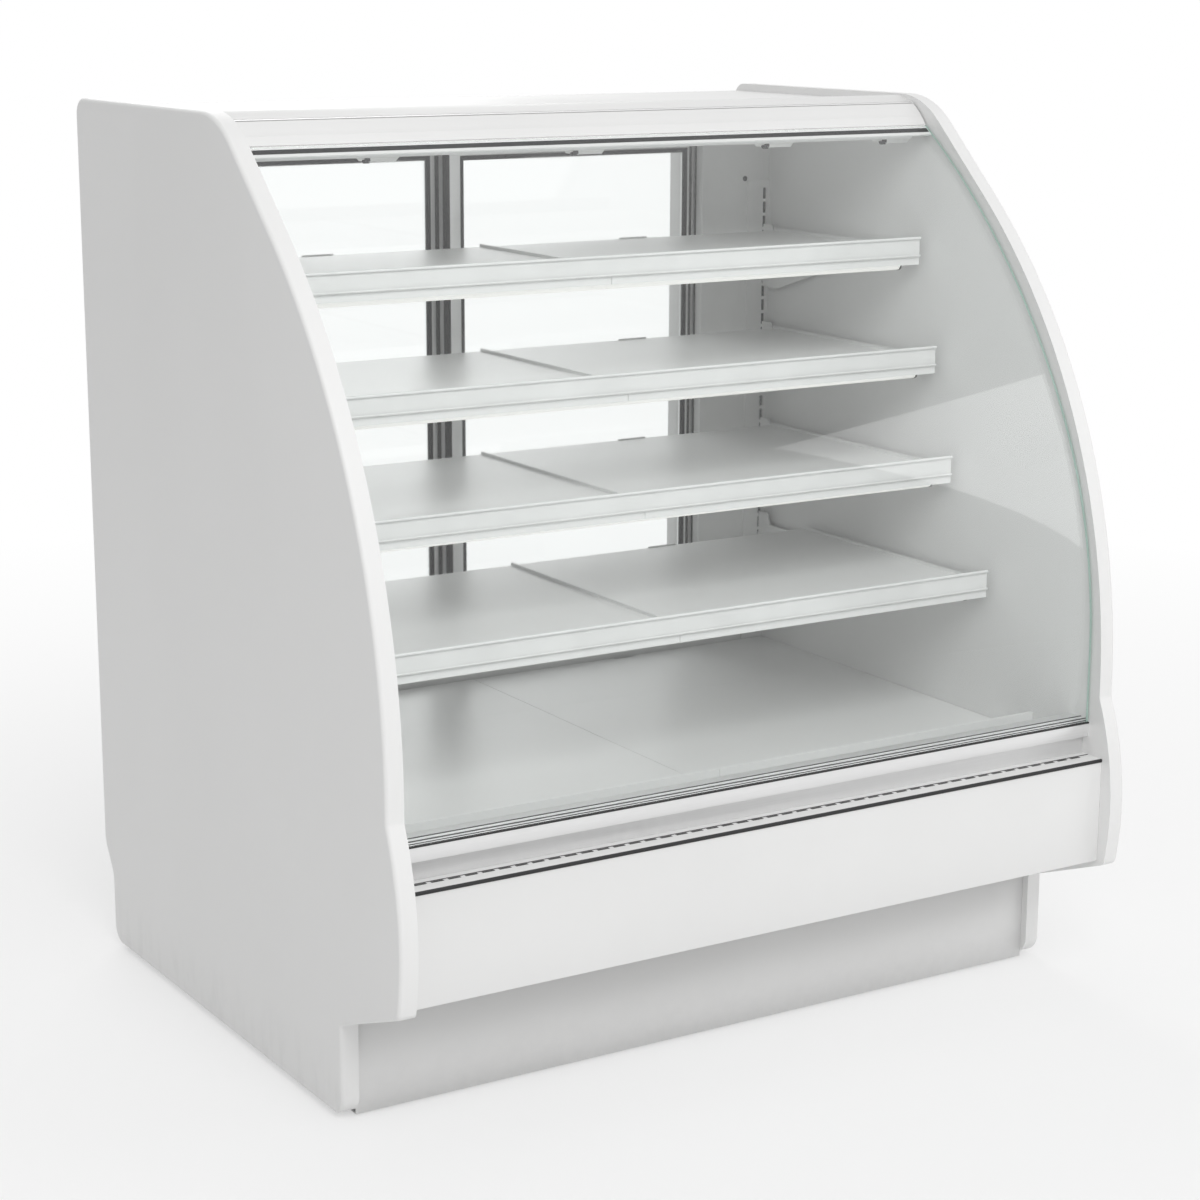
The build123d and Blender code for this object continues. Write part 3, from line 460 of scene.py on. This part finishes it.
def piece(name, shape, slot, body="cabinet", replaced=(), finish=None):
    """Makes a shape an object that rides on a body, with outward faces and crisp edges."""
    points, blocks = shape
    mesh = bpy.data.meshes.new(name)
    mesh.from_pydata((points / 1000).tolist(), [], sum((faces.tolist() for faces in blocks), []))
    made = bmesh.new()
    made.from_mesh(mesh)
    bmesh.ops.remove_doubles(made, verts=made.verts, dist=2e-6)
    bmesh.ops.dissolve_degenerate(made, edges=made.edges, dist=1e-7)
    bmesh.ops.recalc_face_normals(made, faces=made.faces)
    made.to_mesh(mesh)
    made.free()
    mesh.materials.append(finish or finishes[slot])
    mesh.shade_smooth()
    mesh.set_sharp_from_angle(angle=radians(35))
    o = bpy.data.objects.new(name, mesh)
    bpy.context.scene.collection.objects.link(o)
    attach(o, body)
    if replaced:
        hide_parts(*replaced)
    return o


# Shelves: rail with curled lips, lamp housing, opal cover and end caps

RAIL_UP, RAIL_DOWN = 23, 11  # ends of the rail above and below the shelf's top
LIP_RADIUS, LIP_INSET = 2.1, 2.65  # a lip's centre line, and its centre inside the rail's end
BAR_FRONT, BAR_BACK = 31, 59  # sides of the lamp bar, behind the rail's face
BAR_TOP, BAR_TALL, BAR_SEAM = 12, 24, 12  # top below the shelf's, height, and seam above its foot
CAP_THICK = 3.2


def tag_channel(rail, z):
    """Rail section: a 2 mm web whose ends curl forward round circles of 2.1 to thin lips."""
    low, high = z - RAIL_DOWN + LIP_INSET, z + RAIL_UP - LIP_INSET
    top = arc((rail - 1.1, high), LIP_RADIUS, 215, 0, 14)
    bottom = arc((rail - 1.1, low), LIP_RADIUS, 0, -215, 14)
    half = np.concatenate([np.linspace(0.5, 0.6, 9), np.linspace(0.65, 1.0, 5)])
    outline = ribbon(np.concatenate([top, bottom]), np.concatenate([half, half[::-1]]))
    return carried(outline, -RAIL_HALF, RAIL_HALF)


def lamp_bar(rail, z):
    """Housing, cover and caps of a lamp bar under a shelf, each one outline carried along X."""
    y0, y1 = rail + BAR_FRONT, rail + BAR_BACK
    z1 = z - BAR_TOP
    z0 = z1 - BAR_TALL
    seam = z0 + BAR_SEAM
    inner = LAMP_HALF - 3
    lid = rounded([(y0, seam), (y1, seam), (y1, z1), (y0, z1)], [0.5, 0.5, 2.0, 2.0], 4)
    neck = block(y0 + 12, y0 + 16, z1 - 1, z - 1.3)
    necks = [carried(neck, -LAMP_HALF, -6), carried(neck, 6, LAMP_HALF)]
    housing = joined(carried(lid, -inner, inner), *necks)
    a, b, low, high = y0 + 0.7, y1 - 0.7, z0 + 0.7, seam + 0.2
    cover = rounded([(a, low), (b, low), (b, high), (a, high)], [8.5, 8.5, 0.2, 0.2], 8)
    cap = rounded([(y0, z0), (y1, z0), (y1, z1), (y0, z1)], [9, 9, 2.5, 2.5], 8)
    ends = (-LAMP_HALF, -LAMP_HALF + CAP_THICK), (LAMP_HALF - CAP_THICK, LAMP_HALF)
    caps = joined(*[carried(cap, *end) for end in ends])
    return housing, carried(cover, -inner, inner), caps


for number, (up, back) in enumerate(SHELF_ROWS, 1):
    shelf_z = NOSE_Z + up * RISE
    rail_y = GLASS_Y + back * RISE
    channel = tag_channel(rail_y, shelf_z)
    piece(f"tag_channel_{number}", channel, "tag_rail", replaced=[f"tag_rail_{number}"])
    housing, cover, caps = lamp_bar(rail_y, shelf_z)
    replaced = [f"shelf_light_{number}"]
    piece(f"shelf_lamp_housing_{number}", housing, "white_panel", replaced=replaced)
    piece(f"shelf_lamp_cover_{number}", cover, "lamp_lens")
    piece(f"shelf_lamp_caps_{number}", caps, "black_plastic")


# Canopy lamp under the header, and the hooks of its clips, black as painted shade on their end
# faces

CLIPS_X = (-387.8, -26.9, 335.0, 574.0)  # middles of the clips


def canopy():
    """Housing channel with a sloped front, its opal cover, and plates at both ends."""
    body = [
        (-15, 1362), (-8, 1348), (-4, 1348), (-4, 1354), (36, 1354), (36, 1348), (40, 1348),
        (40, 1368), (-10, 1368),
    ]
    end = [(-15, 1362), (-8, 1348), (40, 1348), (40, 1368), (-10, 1368)]
    opening = [(-3.7, 1348.5), (35.7, 1348.5), (35.7, 1353.8), (-3.7, 1353.8)]
    inner = CANOPY_HALF - 2
    channel = carried(rounded(body, [2, 2, 0.4, 0.4, 0.4, 0.4, 0.6, 0.6, 2], 4), -inner, inner)
    plate = rounded(end, [2, 2, 0.6, 0.6, 2], 4)
    plates = [carried(plate, -CANOPY_HALF, -inner), carried(plate, inner, CANOPY_HALF)]
    cover = rounded(opening, [1.5, 1.5, 0.3, 0.3], 4)
    return joined(channel, *plates), carried(cover, -inner, inner)


channel, cover = canopy()
piece("canopy_housing", channel, "white_panel", replaced=["canopy_light"])
piece("canopy_cover", cover, "lamp_lens")

# The hooks are black: painted shade on the left end faces of the white clips.
shaded_hook = ribbon(arc((-1.0, 1345.0), 4.4, 152, 352, 18), 1.3)
shaded_hooks = [carried(shaded_hook, x - 28.8, x - 20.5) for x in CLIPS_X]
piece("shaded_clip_hooks", joined(*shaded_hooks), "black_plastic")


# Front glass: bond line along its top edge, and ground ends

BOND_START, BOND_STOP, BOND_HALF = 3.5, 13.5, 621.5  # arc distances from the top edge; half length
GROUND_START, GROUND_STOP = 622.45, 622.8  # skin over each end of the glass


def glass_arc(first, last, radius, count=10):
    """Points centre + radius (-cos t, sin t), t at arc distances below the glass's top edge."""
    t = GLASS_TOP - np.linspace(first, last, count) / GLASS_RADIUS
    return GLASS_CENTER + radius * np.stack([-np.cos(t), np.sin(t)], 1)


def glass_curve(out):
    """Section of the front glass at a distance outside its inner face.

    It is a foot point, then centre + (radius + out) (-cos t, sin t) on the low and the high arc.
    """
    t = np.linspace(0, ARCS_MEET, 14)[:, None]
    low = LOW_CENTER + (LOW_RADIUS + out) * np.hstack([-np.cos(t), np.sin(t)])
    t = np.linspace(ARCS_MEET, GLASS_TOP, 16)[1:, None]
    high = GLASS_CENTER + (GLASS_RADIUS + out) * np.hstack([-np.cos(t), np.sin(t)])
    return np.concatenate([[(GLASS_Y - out, NOSE_Z + 0.4)], low, high])


band = np.concatenate([
    glass_arc(BOND_START, BOND_STOP, GLASS_RADIUS + 0.15),
    glass_arc(BOND_STOP, BOND_START, GLASS_RADIUS + 0.03),
])
bond = carried(band, -BOND_HALF, BOND_HALF)
piece("glass_bond_line", bond, "black_rubber", "front_leaf")

edge = np.concatenate([glass_curve(5.9), glass_curve(0.1)[::-1]])
edges = joined(carried(edge, GROUND_START, GROUND_STOP), carried(edge, -GROUND_STOP, -GROUND_START))
ground = moulded("ground_edge", (0.50, 0.68, 0.61), 0.25, 0.3)
piece("glass_ground_edges", edges, "clear_glass", "front_leaf", finish=ground)


# Ledge and sill: each strip is an outline carried from one end panel to the other

def strip(outline, gap):
    """Outline carried along X to a gap short of each end panel."""
    return carried(outline, -HALF_IN + gap, HALF_IN - gap)


ledge_edge = bead(PANEL_Y - 1.4, PANEL_Y + 1.4, LEDGE_Z - 5, LEDGE_Z + 0.6, 1.3, 0.2)
piece("ledge_bead", strip(ledge_edge, 0.5), "black_rubber")
# A black sheet under the ledge's slots: painted shade that makes the slots read dark.
vent_shade = block(-498.0, -483.0, LEDGE_Z - 1.1, LEDGE_Z - 0.3, 0.2)
piece("vent_slot_shade", strip(vent_shade, 1), "black_plastic")
seam = block(-487.6, -485.2, LEDGE_Z - 0.05, LEDGE_Z + 0.3, 0.1)
piece("ledge_seam", strip(seam, 0.5), "black_rubber")

# Gasket behind the glass foot: a strip on the step, a low rib, and a high rib on a pale foot
ribs = [
    block(-478.5, -478.15, 449.0, 450.6, 0.1),
    block(-475.8, -474.2, 451.9, 453.3, 0.5),
    block(-464.9, -463.3, 452.9, 454.5, 0.5),
]
piece("glass_foot_gasket", joined(*[strip(rib, 1) for rib in ribs]), "black_rubber")
piece("gasket_foot", strip(block(-465.4, -462.8, 451.9, 453.0, 0.2), 1), "white_panel")
piece("nose_bead", strip(bead(-486.2, -484.65, 445.4, 448.2, 1.2, 0.1), 0.5), "black_rubber")


# Shelf standards: a black strip behind the slots, painted shade of their hollow channel

STANDARD_X = 614.5  # middle of a standard's slots
standard_shades = [
    carried(block(x - 5, x + 5, FRAME_Y - 0.45, FRAME_Y - 0.05, 0.05), 398, 1250, "Z")
    for x in (-STANDARD_X, STANDARD_X)
]
piece("standard_slot_shade", joined(*standard_shades), "black_plastic")


# Rear doors: glass gaskets, brush strips and rims of the finger pulls

PANE_FRONT = 2.52  # front of a pane before the middle of its leaf
PANE_Z = (443.4, 1308.0)
STRIP_Z = (427.0, 1328.0)
PULL_Z = (787.7, 967.7)
PULL_X = (461.8, 475.8)


def gasket(middle, x0, x1):
    """Gasket round a door pane: an L that covers the frame's edge and runs down to the glass."""
    front, glass = middle - LEAF_HALF, middle - PANE_FRONT
    section = [
        (4.5, front), (0.05, front), (0.05, glass), (-3.0, glass), (-3.0, front + 1.6),
        (-1.2, front - 0.8), (3.9, front - 0.8), (4.5, front - 0.4),
    ]
    return framed(section, x0, x1, *PANE_Z)


def pull_rim(middle, x0, x1):
    """Rim round a finger pull, a half round on the leaf's rear face."""
    face = middle + LEAF_HALF
    section = [
        (-1.0, face), (-1.0, face + 0.7), (0.0, face + 1.1), (1.2, face + 1.1),
        (2.4, face + 0.6), (2.8, face),
    ]
    return framed(section, x0, x1, *PULL_Z)


def brush(middle, x0, x1):
    """Brush strip on a leaf's front face."""
    front = middle - LEAF_HALF
    return carried(block(x0, x1, front - 0.8, front, 0.2), *STRIP_Z, "Z")


def edge_brush(middle):
    """Brush strip that wraps the meeting edge of the right leaf, an L."""
    front = middle - LEAF_HALF
    section = [
        (-29.4, front - 0.8), (-23.5, front - 0.8), (-23.5, front), (-26.0, front),
        (-26.0, front + 14), (-29.4, front + 14),
    ]
    return carried(np.array(section), *STRIP_Z, "Z")


right_brush = joined(edge_brush(NEAR_LEAF), brush(NEAR_LEAF, 467.0, 472.0))
left_brush = joined(brush(FAR_LEAF, -37.0, -29.5), brush(FAR_LEAF, -472.0, -467.0))
right_rim = pull_rim(NEAR_LEAF, PULL_X[0], PULL_X[1])
left_rim = pull_rim(FAR_LEAF, -PULL_X[1], -PULL_X[0])
piece("door_right_gasket", gasket(NEAR_LEAF, 2.0, 458.0), "black_rubber", "door_right")
piece("door_left_gasket", gasket(FAR_LEAF, -458.0, -50.0), "black_rubber", "door_left")
piece("door_right_brush", right_brush, "black_rubber", "door_right")
piece("door_left_brush", left_brush, "black_rubber", "door_left")
piece("door_right_pull_rim", right_rim, "black_plastic", "door_right")
piece("door_left_pull_rim", left_rim, "black_plastic", "door_left")


# Screws and louvre hoods

SCREWS_X = (-572, 572)
SCREWS_Z = (440.0, 877.5, 1256.0)
LOUVRES_X = [65.5 - HALF_IN + 90 * i for i in range(10)]
LOUVRES_Z = (50, 65, 80, 95, 110)


def screw(x, z):
    """Pan head: height 0.4 + 2.4 sqrt(1 - 0.75 (r / 4.5)^2), less a cross recess 1.3 deep."""
    r = np.concatenate([[0.0], np.linspace(0.3, 4.5, 15)])[:, None]
    t = np.linspace(0, 2 * pi, 56, endpoint=False)[None]
    arm = np.minimum(abs(r * np.cos(t)), abs(r * np.sin(t)))
    recess = np.clip((0.75 - arm) / 0.3, 0, 1) * np.clip((2.7 - r) / 0.5, 0, 1)
    y = FRAME_Y - 0.4 - 2.4 * np.sqrt(1 - 0.75 * (r / 4.5) ** 2) + 1.3 * recess
    y = np.concatenate([y, np.full((2, t.size), FRAME_Y)])
    r = np.concatenate([r, [[4.5], [0.0]]])
    grid = np.stack(np.broadcast_arrays(x + r * np.cos(t), y, z + r * np.sin(t)), -1)
    return woven(grid, False, True)


def hood(x, z):
    """Louvre hood: bulge 5 sin(90 v) (1 - |2u - 1|^5), 0.9 thick and open below."""
    u = np.linspace(0, 1, 11)[None]
    v = np.linspace(0, 1, 5)[:, None]
    side = 1 - abs(2 * u - 1) ** 5
    y = REAR_SKIN - 0.02 + 5.0 * np.sin(pi / 2 * v) * side
    outer = np.stack(np.broadcast_arrays(x - 1.5 + 73 * u, y, z + 9.5 - 10 * v), -1)
    thick = np.minimum(0.9, y - REAR_SKIN + 0.02) * (side > 1e-9)
    inner = outer - np.stack(np.broadcast_arrays(0.0, thick, 0.4 * side * (1 - v)), -1)
    return leafed(outer, inner)


screws = joined(*[screw(x, z) for x in SCREWS_X for z in SCREWS_Z])
piece("pan_screws", screws, "black_steel", replaced=["screws"])
hoods = joined(*[hood(x, z) for x in LOUVRES_X for z in LOUVRES_Z])
piece("louvre_hoods", hoods, "white_panel")


# Knob, rocker and gland on the rear panel

KNOB_X, ROCKER_X, GLAND_X = 525.0, 470.0, -590.0
GLAND_Z = CONTROL_Z - 10
BOX_FACE = 510.4  # just inside the control box's rear face


def fluted(r, y, t):
    """Grip with twelve shallow flutes between its face and its skirt."""
    return r * (1 - 0.07 * (r > 13) * (y > 512.5) * (0.5 + 0.5 * np.cos(12 * t)) ** 2)


def mark(angle, inner, outer, half, y0, y1):
    """Raised bar that points outward from the knob's centre, at an angle in degrees."""
    a = radians(angle)
    turn = np.array([[np.cos(a), np.sin(a)], [-np.sin(a), np.cos(a)]])
    outline = block(inner, outer, -half, half, 0.2) @ turn + [KNOB_X, CONTROL_Z]
    return carried(outline, y0, y1, "Y")


def rocker():
    """Rocker with a hollow of 0.5 sin in each half face, and its cross pin."""
    x = np.linspace(-13.5, 13.5, 25)
    top = np.interp(x, [-13.5, 0, 13.5], [4.6, 3.0, 1.0]) - 0.5 * abs(np.sin(pi * x / 13.5))
    face = np.stack([x, 509 + top], 1)
    outline = np.concatenate([[(-13.5, 506), (13.5, 506)], face[::-1]]) + [ROCKER_X, 0]
    cap = carried(outline, CONTROL_Z - 9.4, CONTROL_Z + 9.4, "Z")
    pin = arc((ROCKER_X, 509.0), 1.5, 0, 345, 24)
    return joined(cap, carried(pin, CONTROL_Z - 12.2, CONTROL_Z + 12.2, "Z"))


def gripped(r, y, t):
    """Radius of the gland: a nut with six flats and a cap with ten shallow grips.

    The nut's radius grows to its corners as 1 / cos of the angle from the middle of a flat.
    """
    flat = (t + pi / 6) % (pi / 3) - pi / 6
    nut = r * np.cos(pi / 6) / np.cos(flat)
    cap = r * (1 - 0.05 * (r > 10.4) * (y > 517.5) * (np.cos(10 * t) > 0.6))
    return np.where((r > 12.5) & (y < 516.6), nut, cap)


grip = [
    (0, 524.4), (9, 524.4), (11.5, 525.0), (13.2, 524.8), (14.4, 523.4), (15.2, 518),
    (15.6, 513.2), (16, 512.2), (16, 511.0), (3, 511.0), (3, 499.5), (0, 499.5),
]
knob = turned(grip, KNOB_X, CONTROL_Z, 96, fluted)
piece("knob_grip", knob, "black_plastic", "knob", ["thermostat_knob"])
pointer = mark(225, 4.0, 13.5, 0.7, 524.3, 525.2)
piece("knob_pointer", pointer, "white_panel", "knob", finish=ink)
ticks = [mark(90 + 27 * i, 19.2, 22.6, 0.45, BOX_FACE, BOX_FACE + 0.3) for i in range(-5, 6)]
piece("dial_ticks", joined(*ticks), "white_panel", finish=ink)

piece("rocker_cap", rocker(), "black_plastic", "rocker", ["light_switch"])
line = block(ROCKER_X - 7.4, ROCKER_X - 6.4, CONTROL_Z - 3, CONTROL_Z + 3, 0.3)
ring = [(2.2, 509.8), (3.0, 509.8), (3.0, 510.85), (2.2, 510.85)]
off_ring = turned(ring, ROCKER_X + 6.9, CONTROL_Z, 32, ring=True)
marks = joined(carried(line, 511.4, 512.6, "Y"), off_ring)
piece("rocker_marks", marks, "white_panel", "rocker", finish=ink)

gland = [
    (4.5, 472), (9.5, 472), (9.5, 509.4), (15, 509.5), (15, 515.7), (14.2, 516.5), (11, 516.5),
    (11, 517.6), (11, 526), (10.2, 527.6), (8.5, 528.5), (6, 528.5), (4.5, 527.5),
]
nut = turned(gland, GLAND_X, GLAND_Z, 120, gripped, True)
piece("gland_nut", nut, "black_plastic", replaced=["power_inlet"])


# Fan wheels

BLADES = 5
SMALL_FAN = (48, 14, 16, 3.05)  # radius, hub radius, hub length and bore
LARGE_FAN = (66, 20, 20, 4.05)


def wheel(x, y, z, radius, hub, length, bore):
    """Hub with rounded rims, and blades whose pitch falls from 40 to 22 degrees.

    The chord grows outward from 1.35 to 1.9 hub radii. A blade's section has a camber of
    0.09 chord (1 - 4 v^2) and half the thickness is 0.75 sqrt(1 - 4 v^2), v from -0.5 to 0.5.
    Its point at a share u of the span lies at the angle turn + along / r + 0.22 u.
    """
    h = length / 2
    rim = [
        (bore, y - h), (hub - 2, y - h), (hub - 0.6, y - h + 0.6), (hub, y - h + 2),
        (hub, y + h - 2), (hub - 0.6, y + h - 0.6), (hub - 2, y + h), (bore, y + h),
    ]
    parts = [turned(rim, x, z, 48, ring=True)]
    u = np.linspace(0, 1, 9)[:, None]
    v = np.linspace(-0.5, 0.5, 9)[None]
    r = hub - 1.5 + u * (radius - hub + 1.0)
    chord = hub * (1.35 + 0.55 * u)
    pitch = np.radians(40 - 18 * u)
    camber = 0.09 * chord * (1 - 4 * v ** 2)
    thick = 0.75 * np.sqrt(np.clip(1 - 4 * v ** 2, 0, 1))
    for turn in np.arange(BLADES) * 2 * pi / BLADES:
        skins = []
        for lift in (camber + thick, camber - thick):
            along = v * chord * np.cos(pitch) - lift * np.sin(pitch)
            t = turn + along / r + 0.22 * u
            deep = y + v * chord * np.sin(pitch) + lift * np.cos(pitch)
            skin = np.broadcast_arrays(x + r * np.cos(t), deep, z + r * np.sin(t))
            skins.append(np.stack(skin, -1))
        parts.append(leafed(*skins))
    return joined(*parts)


left_wheel = wheel(-300, 60, 326, *SMALL_FAN)
right_wheel = wheel(300, 60, 326, *SMALL_FAN)
rear_wheel = wheel(-275, -120, 138, *LARGE_FAN)
piece("fan_wheel_left", left_wheel, "black_plastic", "fan_left", ["evaporator_fan_left"])
piece("fan_wheel_right", right_wheel, "black_plastic", "fan_right", ["evaporator_fan_right"])
piece("fan_wheel_rear", rear_wheel, "black_plastic", "fan_rear", ["condenser_fan"])


# Stage, light and camera

def studio_floor():
    """Round floor of rings that widen outward.

    The eye sees it fade to plain white, but for the shadow near the case.
    """
    r = np.concatenate([[0.0], np.geomspace(500, 40000, 16)])[:, None]
    t = np.linspace(0, 2 * pi, 64, endpoint=False)[None]
    grid = np.stack(np.broadcast_arrays(r * np.cos(t), r * np.sin(t), 0.0), -1)
    points, blocks = woven(grid, False, True)
    mesh = bpy.data.meshes.new("studio_floor")
    mesh.from_pydata((points / 1000).tolist(), [], blocks[0].tolist())
    o = bpy.data.objects.new("studio_floor", mesh)
    bpy.context.scene.collection.objects.link(o)
    mat, shader, place = start("studio_white")
    fit(shader, place, Base_Color=(0.88, 0.88, 0.88, 1.0), Roughness=0.9)
    spread = place.node("ShaderNodeVectorMath", {"operation": "LENGTH"}, {0: place}, "Value")
    far = spread.above(2.4, 2.8)
    seen = path_of(place, "Is Camera Ray", "Is Glossy Ray", "Is Transmission Ray")
    glow = place.node("ShaderNodeEmission", {}, {"Color": (1.0, 1.0, 1.0, 1.0), "Strength": 1.0})
    mesh.materials.append(blended(mat, place, seen * (0.5 + 0.5 * far), glow))


studio_floor()
world = bpy.data.worlds.new("studio")
bpy.context.scene.world = world
world.use_nodes = True
background = world.node_tree.nodes["Background"]
sky = Wire(world.node_tree, background.outputs[0])
background.inputs["Color"].default_value = (1.0, 1.0, 1.0, 1.0)
seen = path_of(sky, "Is Camera Ray", "Is Glossy Ray", "Is Transmission Ray")
sky.put(background.inputs["Strength"], 0.55 + 0.45 * seen)


def lamp(name, place, aim, size, power):
    """Soft square lamp at a place, turned to a point."""
    data = bpy.data.lights.new(name, "AREA")
    data.size = size
    data.energy = power
    o = bpy.data.objects.new(name, data)
    bpy.context.scene.collection.objects.link(o)
    o.location = place
    o.rotation_euler = (Vector(aim) - Vector(place)).to_track_quat("-Z", "Y").to_euler()


lamp("key", (-1.2, -4.6, 4.6), (0, 0, 0.7), 3.0, 150)
lamp("fill", (4.6, -3.0, 2.6), (0, 0, 0.7), 3.0, 40)
lamp("rear", (1.0, 4.4, 3.6), (0, 0, 0.7), 3.0, 60)

camera_data = bpy.data.cameras.new("camera")
camera_data.lens = 80.39
camera_data.sensor_width = 36.0
camera_data.clip_end = 100
camera = bpy.data.objects.new("camera", camera_data)
bpy.context.scene.collection.objects.link(camera)
forward = np.array([0.51302, 0.82781, -0.22703])
right = np.array([0.85043, -0.52608, 0.00349])
up = np.array([0.11655, 0.19486, 0.97388])
turn = Matrix(np.stack([right, up, -forward], 1).tolist()).to_4x4()
camera.matrix_world = Matrix.Translation((-2.2317, -3.6013, 1.6147)) @ turn
bpy.context.scene.camera = camera
bpy.context.scene.view_settings.view_transform = "Standard"
